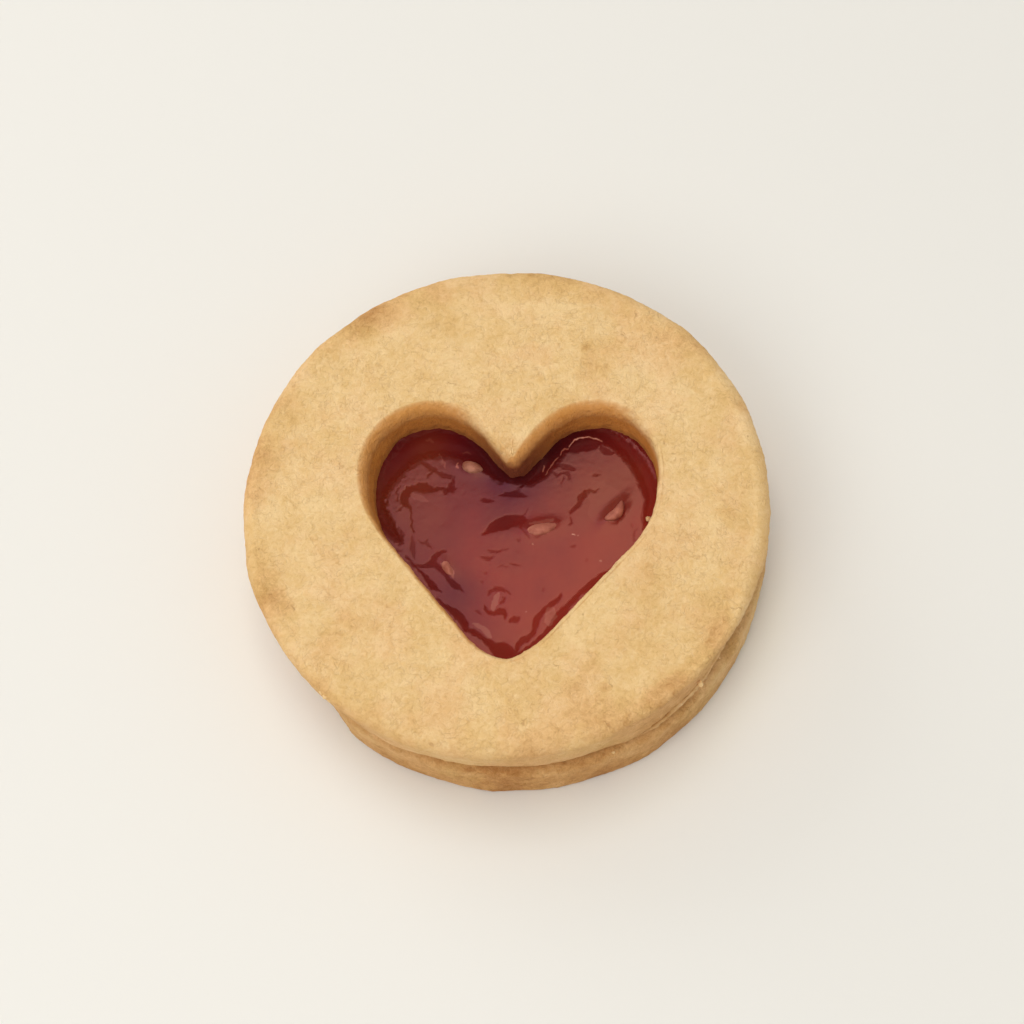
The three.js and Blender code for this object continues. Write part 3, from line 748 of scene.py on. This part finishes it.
# Seeds: place, turn, length, width, height, how far the top stands over the jam, and the bend
SEEDS = (
    (-3.9, 6.2, -18, 2.35, 1.35, 1.1, 0.5, 0.12),
    (11.6, 0.95, 50, 2.8, 1.15, 0.9, 0.55, 0.5),
    (3.75, -0.95, 12, 3.3, 1.4, 0.9, 0.36, 0.16),
    (-6.16, -5.52, -57, 2.3, 1.1, 0.9, 0.16, 0.1),
)


def direction(azimuth, elevation):
    a, e = radians(azimuth), radians(elevation)
    return Vector((sin(a) * cos(e), -cos(a) * cos(e), sin(e)))


def facing(back, roll):
    """The right, up and back directions of a light or a camera that looks along -back."""
    right = Vector((0, 0, 1)).cross(back).normalized()
    up = back.cross(right)
    return cos(roll) * right + sin(roll) * up, cos(roll) * up - sin(roll) * right, back


def on_jam(px, py, half):
    """A place in the picture and half a width there, put on the jam in millimetres."""
    right, up, back = facing(direction(CAMERA_AZIMUTH, CAMERA_ELEVATION), radians(CAMERA_ROLL))
    eye = CAMERA_TARGET + back * CAMERA_DISTANCE
    ray = right * (px - PICTURE_PIXELS / 2) + up * (PICTURE_PIXELS / 2 - py) - back * FOCAL_PIXELS
    spot = eye + ray * ((FOLDS_AT - eye.z) / ray.z)
    return spot.x, spot.y, half * JAM_PIXEL


def all_on_jam(lines):
    return [(strength, *(on_jam(*point) for point in points)) for strength, *points in lines.values()]


def outside_line(x, y, points):
    """How far a place lies outside a line that has its own half width at each of its points."""
    nearest = 1e9
    for (ax, ay, a_half), (bx, by, b_half) in zip(points, points[1:]):
        dx, dy = bx - ax, by - ay
        t = min(max(((x - ax) * dx + (y - ay) * dy) / (dx * dx + dy * dy), 0), 1)
        away = hypot(x - ax - t * dx, y - ay - t * dy)
        nearest = min(nearest, away - a_half - (b_half - a_half) * t)
    return nearest


def boxed(lines):
    """Each line with its depth, which only wide folds have, and its box for a quick first look."""
    made = []
    for strength, *points in lines:
        xs, ys, halves = zip(*points)
        depth = FOLD_DEPTH * min(1, max(halves) / 1.6) ** 3
        far = max(halves) + 0.9
        box = (min(xs) - far, max(xs) + far, min(ys) - far, max(ys) + far)
        made.append((strength, depth, points, box))
    return made


FOLDS_BOXED = boxed([*all_on_jam(FOLDS), *FOLDS_BY_SEED])
PALER_BOXED = boxed(all_on_jam(PALER))


def blobs(x, y, places):
    """How much of the soft round places in a table a point gets, from 0 to 1."""
    return min(1, sum(much * exp(-((hypot(x - bx, y - by) / far) ** 2)) for bx, by, far, much in places))


def jam_skin(x, y, from_wall):
    """The jam's height over its level at a place, in millimetres, and its values in the layers' order."""
    climb = 0.08 + 0.9 * exp(-(hypot(x - TONGUE_TIP.x, y - TONGUE_TIP.y) / 2.5) ** 2)
    height = climb * exp(-from_wall / 0.35) + DOME_HEIGHT * exp(-(hypot(x - HEART_AXIS, y + 1.5) / 15) ** 2)
    height += 0.007 * noise.noise(Vector((x * 0.45, y * 0.45, 4)))
    height += 0.002 * noise.noise(Vector((x * 1.9, y * 1.9, 9)))
    rough = smooth(7.5, 3.5, hypot(x + 10.2, y - 4.0))
    height += 0.009 * rough * noise.fractal(Vector((x * 0.5, y * 0.5, 1.7)), 0.8, 2.1, 3)
    bend = 0.13 + 0.1 * rough
    bent_x = x + bend * noise.fractal(Vector((x * 1.8, y * 1.8, 11)), 0.8, 2.1, 2)
    bent_y = y + bend * noise.fractal(Vector((x * 1.8, y * 1.8, 23)), 0.8, 2.1, 2)
    pale = sunk = 0
    dull = 0.9 * smooth(0.5, 0.2, from_wall + 0.2 * noise.noise(Vector((x, y, 5))))
    for strength, depth, points, (x_low, x_high, y_low, y_high) in FOLDS_BOXED:
        if x_low < x < x_high and y_low < y < y_high:
            outside = outside_line(bent_x, bent_y, points)
            sunk = max(sunk, depth * smooth(0.5, -0.8, outside))
            dull = max(dull, strength * smooth(0.07, -0.07, outside))
    height -= sunk + 0.01 * dull
    for strength, _, points, (x_low, x_high, y_low, y_high) in PALER_BOXED:
        if x_low < x < x_high and y_low < y < y_high:
            pale = max(pale, strength * smooth(0.08, -0.06, outside_line(bent_x, bent_y, points)))
    for sx, sy, turn, long, wide, _, proud, _ in SEEDS:
        a = radians(turn)
        dx, dy = x - sx, y - sy
        q = hypot((dx * cos(a) + dy * sin(a)) / long, (dy * cos(a) - dx * sin(a)) / wide) * 2
        if q < 3:
            height += 0.35 * proud * exp(-((q / 1.3) ** 2))
    return height, dull, pale / 2, *(blobs(x, y, places) for places in (COOLER, DARKER, BROWNER))


def jam_body():
    """A fine grid cut to the window's outline, its wall below, and the layer between the biscuits."""
    outline = heart_outline(1000)
    wall = kdtree.KDTree(len(outline))
    for k, (point, _) in enumerate(outline):
        wall.insert((point.x, point.y, 0), k)
    wall.balance()

    def beyond(p):
        """The nearest point of the outline, its direction into the biscuit, and how far p lies beyond it."""
        point, out = outline[wall.find((p.x, p.y, 0))[1]]
        return point, out, (p.to_2d() - point).dot(out)

    bm = bmesh.new()
    count = round(34 / CELL)
    bmesh.ops.create_grid(bm, x_segments=count, y_segments=count, size=count * CELL / 2)
    bmesh.ops.translate(bm, vec=(HEART_MIDDLE.x, HEART_MIDDLE.y, 0), verts=bm.verts)
    far = [v for v in bm.verts if beyond(v.co)[2] > INTO_WALL + CELL / 2]
    bmesh.ops.delete(bm, geom=far, context="VERTS")
    layers = [bm.verts.layers.float.new(name) for name in ("dull", "pale", "cool", "dark", "brown")]
    for v in bm.verts:
        point, out, over = beyond(v.co)
        if v.is_boundary:
            v.co.xy = point + out * INTO_WALL
        height, *values = jam_skin(v.co.x, v.co.y, max(-over, 0))
        v.co.z = JAM_TOP + height
        for layer, value in zip(layers, values):
            v[layer] = value

    def ring(p, height, radius):
        """Places on the layer's edge that lie as the window's outline does."""
        turn = heart_turn(p)
        return Vector((cos(turn) * radius, sin(turn) * radius, height))

    edges = [e for e in bm.edges if e.is_boundary]
    for place in (
        lambda p: Vector((p.x, p.y, JAM_TOP - 0.3)),
        lambda p: Vector((p.x, p.y, UPPER_BASE + 0.6)),
        lambda p: Vector((p.x, p.y, UPPER_BASE)) - (beyond(p)[1] * (INTO_WALL + 0.1)).to_3d(),
        lambda p: ring(p, UPPER_BASE, JAM_RADIUS + 0.5 * wobble(heart_turn(p), 3.3)),
        lambda p: Vector((p.x, p.y, THICKNESS)),
    ):
        grown = bmesh.ops.extrude_edge_only(bm, edges=edges)["geom"]
        for v in grown:
            if isinstance(v, bmesh.types.BMVert):
                v.co = place(v.co)
        edges = [e for e in grown if isinstance(e, bmesh.types.BMEdge) and e.is_boundary]
    bmesh.ops.contextual_create(bm, geom=edges)
    bmesh.ops.recalc_face_normals(bm, faces=bm.faces)
    return bm


# The jam's colours. The deep and the clear one are mixed by a cloud and by place; the part by place paints
# light towards the right and front and shade towards the back left
JAM_DEEP_AND_SHADED = (0.105, 0.0060, 0.0085)
JAM_CLEAR_AND_LIT = (0.230, 0.0190, 0.0100)
# Painted shade in the jam
JAM_DARK = (0.048, 0.0048, 0.0058)
JAM_BROWN = (0.165, 0.022, 0.009)
JAM_PULP = (0.32, 0.092, 0.06)
# The colour of the painted glints
JAM_PAINTED_GLINT = (0.85, 0.48, 0.38)
JAM_GLOSS = (1.0, 0.44, 0.36)
# The gloss tint where the reflection is painted cooler
JAM_GLOSS_COOL = (0.61, 0.27, 0.33)


def jam_material():
    """Clear dark red gel with pulp in it, wet on top, painted lighter towards the right and front and darker
    towards the back left as light and shade, with painted glints, and its gloss tinted in places as a painted
    reflection.
    """
    material = bpy.data.materials.new("raspberry_jam")
    material.use_nodes = True
    tree = material.node_tree
    surface = tree.nodes["Principled BSDF"]
    place = millimetres(tree)
    spot = add(tree, "ShaderNodeSeparateXYZ", {0: place})
    cloud = add(tree, "ShaderNodeTexNoise", {"Vector": place, "Scale": 0.2, "Detail": 4}).outputs["Fac"]
    # A cloud of deeper and clearer jam, and by place painted light towards the right and front and painted
    # shade towards the back left
    share = arithmetic(tree, "MULTIPLY", cloud, 0.9)
    share = arithmetic(tree, "MULTIPLY_ADD", spot.outputs["X"], 0.022, share)
    share = arithmetic(tree, "MULTIPLY_ADD", spot.outputs["Y"], -0.028, share)
    color = mixed(tree, between(tree, share, -0.1, 1.0), JAM_DEEP_AND_SHADED, JAM_CLEAR_AND_LIT)
    color = mixed(tree, arithmetic(tree, "MULTIPLY", stored(tree, "brown"), 0.9), color, JAM_BROWN)
    # Painted shade: darker where the blobs say so, mostly near the back walls and the tongue
    color = mixed(tree, stored(tree, "dark"), color, JAM_DARK)
    pale = stored(tree, "pale")
    # Pale pulp and film, and over half way painted glints and highlights
    color = mixed(tree, between(tree, pale, 0.0, 0.5), color, JAM_PULP)
    color = mixed(tree, between(tree, pale, 0.5, 1.0), color, JAM_PAINTED_GLINT)
    ripple = add(tree, "ShaderNodeTexNoise", {"Vector": place, "Scale": 1.4, "Detail": 2}).outputs["Fac"]
    bump = add(tree, "ShaderNodeBump", {"Height": ripple, "Distance": 0.00001})
    tree.links.new(color, surface.inputs["Base Color"])
    tree.links.new(bump.outputs[0], surface.inputs["Normal"])
    wet = arithmetic(tree, "MULTIPLY_ADD", stored(tree, "dull"), -0.47, 0.5)
    tree.links.new(wet, surface.inputs["Specular IOR Level"])
    surface.inputs["Roughness"].default_value = 0.12
    surface.inputs["IOR"].default_value = 1.47
    # The gloss is tinted cooler in places: a painted colour of the reflection
    gloss = mixed(tree, stored(tree, "cool"), JAM_GLOSS, JAM_GLOSS_COOL)
    tree.links.new(gloss, surface.inputs["Specular Tint"])
    surface.inputs["Subsurface Weight"].default_value = 0.3
    surface.inputs["Subsurface Radius"].default_value = (1.0, 0.12, 0.08)
    surface.inputs["Subsurface Scale"].default_value = 0.0006
    return material


jam = shape("jam_set", jam_body(), jam_material())
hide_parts("jam")


def seed_bodies(chosen):
    """Raspberry seeds: small bent ovals, blunt at one end, with an uneven coat."""
    bm = bmesh.new()
    for x, y, turn, long, wide, high, proud, bend in chosen:
        made = bmesh.ops.create_uvsphere(bm, u_segments=32, v_segments=20, radius=0.5)
        spot = Vector((x, y, JAM_TOP + 0.25 + proud - high / 2))
        for v in made["verts"]:
            ahead = v.co.x
            p = Vector((ahead * long, v.co.y * wide * (1 - 0.3 * ahead), v.co.z * high))
            p.y += bend * ((2 * ahead) ** 2 - 0.5)
            p += v.co.normalized() * 0.05 * noise.noise(p * 2.5 + spot)
            v.co = Matrix.Rotation(radians(turn), 3, "Z") @ p + spot
    bmesh.ops.recalc_face_normals(bm, faces=bm.faces)
    return bm


def seed_material(name, pale, dark):
    material = bpy.data.materials.new(name)
    material.use_nodes = True
    tree = material.node_tree
    surface = tree.nodes["Principled BSDF"]
    place = millimetres(tree)
    coat = add(tree, "ShaderNodeTexNoise", {"Vector": place, "Scale": 1.3, "Detail": 3}).outputs["Fac"]
    tree.links.new(mixed(tree, between(tree, coat, 0.35, 0.65), dark, pale), surface.inputs["Base Color"])
    surface.inputs["Roughness"].default_value = 0.3
    surface.inputs["Specular Tint"].default_value = (*JAM_GLOSS, 1)
    return material


for name, chosen, pale, dark in (
    ("seed_bare", SEEDS[:1], (0.41, 0.17, 0.108), (0.28, 0.10, 0.062)),
    ("seeds_in_film", SEEDS[1:], (0.43, 0.14, 0.09), (0.32, 0.09, 0.06)),
):
    seeds = shape(name, seed_bodies(chosen), seed_material(name, pale, dark))

# Loose crumbs: pale bits of the same dough that stick to the side, mostly along the crease, and one that
# fell on the jam at the window's edge. Each is a place and a size.
CRUMBS = (
    (20.65, -18.85, 10.5, 0.6), (24.85, -12.1, 13.3, 0.5), (15.1, 0.05, 9.6, 0.5),
    (-18.05, -21.25, 12.9, 0.5), (-17.6, -21.6, 12.6, 0.4), (-18.55, -20.8, 13.0, 0.36),
    (-18.9, -20.4, 12.8, 0.28), (18.7, -20.7, 9.4, 0.24), (15.2, -23.1, 3.2, 0.4), (11.6, -25.2, 7.0, 0.3),
    (22.6, -16.1, 10.6, 0.22),
)


def crumb_bodies():
    bm = bmesh.new()
    for x, y, z, size in CRUMBS:
        spot = Vector((x, y, z))
        made = bmesh.ops.create_icosphere(bm, subdivisions=3, radius=size / 2)
        for v in made["verts"]:
            lumpy = 1 + 0.7 * noise.fractal(v.co / size * 1.6 + spot, 0.8, 2.0, 3)
            v.co = v.co * lumpy + spot
    bmesh.ops.recalc_face_normals(bm, faces=bm.faces)
    return bm


crumbs = shape("crumbs", crumb_bodies(), biscuit_material("crumb_dough", 0.75, 0.00005))
store(crumbs, "browned_and_shaded", lambda p, normal: -0.12)
store(crumbs, "stain_and_shade", lambda p, normal: 0.25 * smooth(3, 2, hypot(p.x - 15, p.y)))

# The floor, the light and the camera. The cookie lies on a plain pale surface. A low softbox stands behind it
# at the left and a higher one in front at the left. The jam mirrors a broad soft patch of light overhead, and
# weak even light comes from all round.
MM = 0.001


def floor():
    bm = bmesh.new()
    bmesh.ops.create_grid(bm, x_segments=1, y_segments=1, size=1.5)
    mesh = bpy.data.meshes.new("floor")
    bm.to_mesh(mesh)
    bm.free()
    material = bpy.data.materials.new("pale_floor")
    material.use_nodes = True
    surface = material.node_tree.nodes["Principled BSDF"]
    surface.inputs["Base Color"].default_value = (0.87, 0.85, 0.80, 1)
    surface.inputs["Roughness"].default_value = 0.6
    mesh.materials.append(material)
    plane = bpy.data.objects.new("floor", mesh)
    bpy.context.collection.objects.link(plane)


def aimed(obj, at, back, distance, roll=0.0):
    """Puts a light or a camera at a distance from a point, looking at it along -back."""
    turn = Matrix(facing(back, roll)).transposed().to_4x4()
    obj.matrix_world = Matrix.Translation(at + back * distance) @ turn
    bpy.context.collection.objects.link(obj)


floor()
# Two softboxes: where they stand, their size, their energy
for azimuth, elevation, size, energy in ((227, 24, 0.35, 0.54), (325, 50, 0.3, 0.62)):
    light = bpy.data.lights.new("softbox", "AREA")
    light.shape = "SQUARE"
    light.size = size
    light.energy = energy
    light.color = (1.0, 0.99, 0.97)
    aimed(bpy.data.objects.new("softbox", light), Vector((0, 0, 0)), direction(azimuth, elevation), 0.5)

ROOM = (0.47, 0.47, 0.47)
WINDOW_LIGHT = 3.15
WINDOW_COOL = (0.63, 0.58, 0.78)
WINDOW_WARM = (1.12, 1.08, 0.92)
WINDOW_MIDDLE = direction(191, 82)
WINDOW_HALF = (0.21, 0.325)
WINDOW_SOFT = 0.05


def room():
    """Even light from everywhere, and one broad soft-edged patch overhead, cooler towards its back left."""
    world = bpy.data.worlds.new("room")
    world.use_nodes = True
    tree = world.node_tree
    even = tree.nodes["Background"]
    even.inputs["Color"].default_value = (*ROOM, 1)
    toward = add(tree, "ShaderNodeTexCoord").outputs["Generated"]

    def reach(axis):
        sockets = {0: toward, 1: axis}
        return add(tree, "ShaderNodeVectorMath", sockets, operation="DOT_PRODUCT").outputs["Value"]

    right = Vector((0, 0, 1)).cross(WINDOW_MIDDLE).normalized() * -1
    offsets = [reach(right), reach(right.cross(WINDOW_MIDDLE))]
    mask = between(tree, reach(WINDOW_MIDDLE), 0.0, 0.1)
    for offset, half in zip(offsets, WINDOW_HALF):
        away = arithmetic(tree, "ABSOLUTE", offset)
        mask = arithmetic(tree, "MULTIPLY", mask, between(tree, away, half + WINDOW_SOFT, half - WINDOW_SOFT))
    slant = arithmetic(tree, "MULTIPLY_ADD", offsets[1], 0.6, offsets[0])
    color = mixed(tree, between(tree, slant, -0.26, -0.04), WINDOW_COOL, WINDOW_WARM)
    strength = arithmetic(tree, "MULTIPLY", mask, WINDOW_LIGHT)
    glow = add(tree, "ShaderNodeBackground", {"Color": color, "Strength": strength})
    both = add(tree, "ShaderNodeAddShader", {0: even.outputs[0], 1: glow.outputs[0]})
    tree.links.new(both.outputs[0], tree.nodes["World Output"].inputs["Surface"])
    bpy.context.scene.world = world


room()

camera_data = bpy.data.cameras.new("camera")
camera_data.sensor_width = 36
camera_data.lens = FOCAL_PIXELS / PICTURE_PIXELS * camera_data.sensor_width
camera_data.clip_start = 0.01
camera = bpy.data.objects.new("camera", camera_data)
seen_from = direction(CAMERA_AZIMUTH, CAMERA_ELEVATION)
aimed(camera, CAMERA_TARGET * MM, seen_from, CAMERA_DISTANCE * MM, radians(CAMERA_ROLL))
bpy.context.scene.camera = camera
bpy.context.scene.view_settings.view_transform = "Standard"
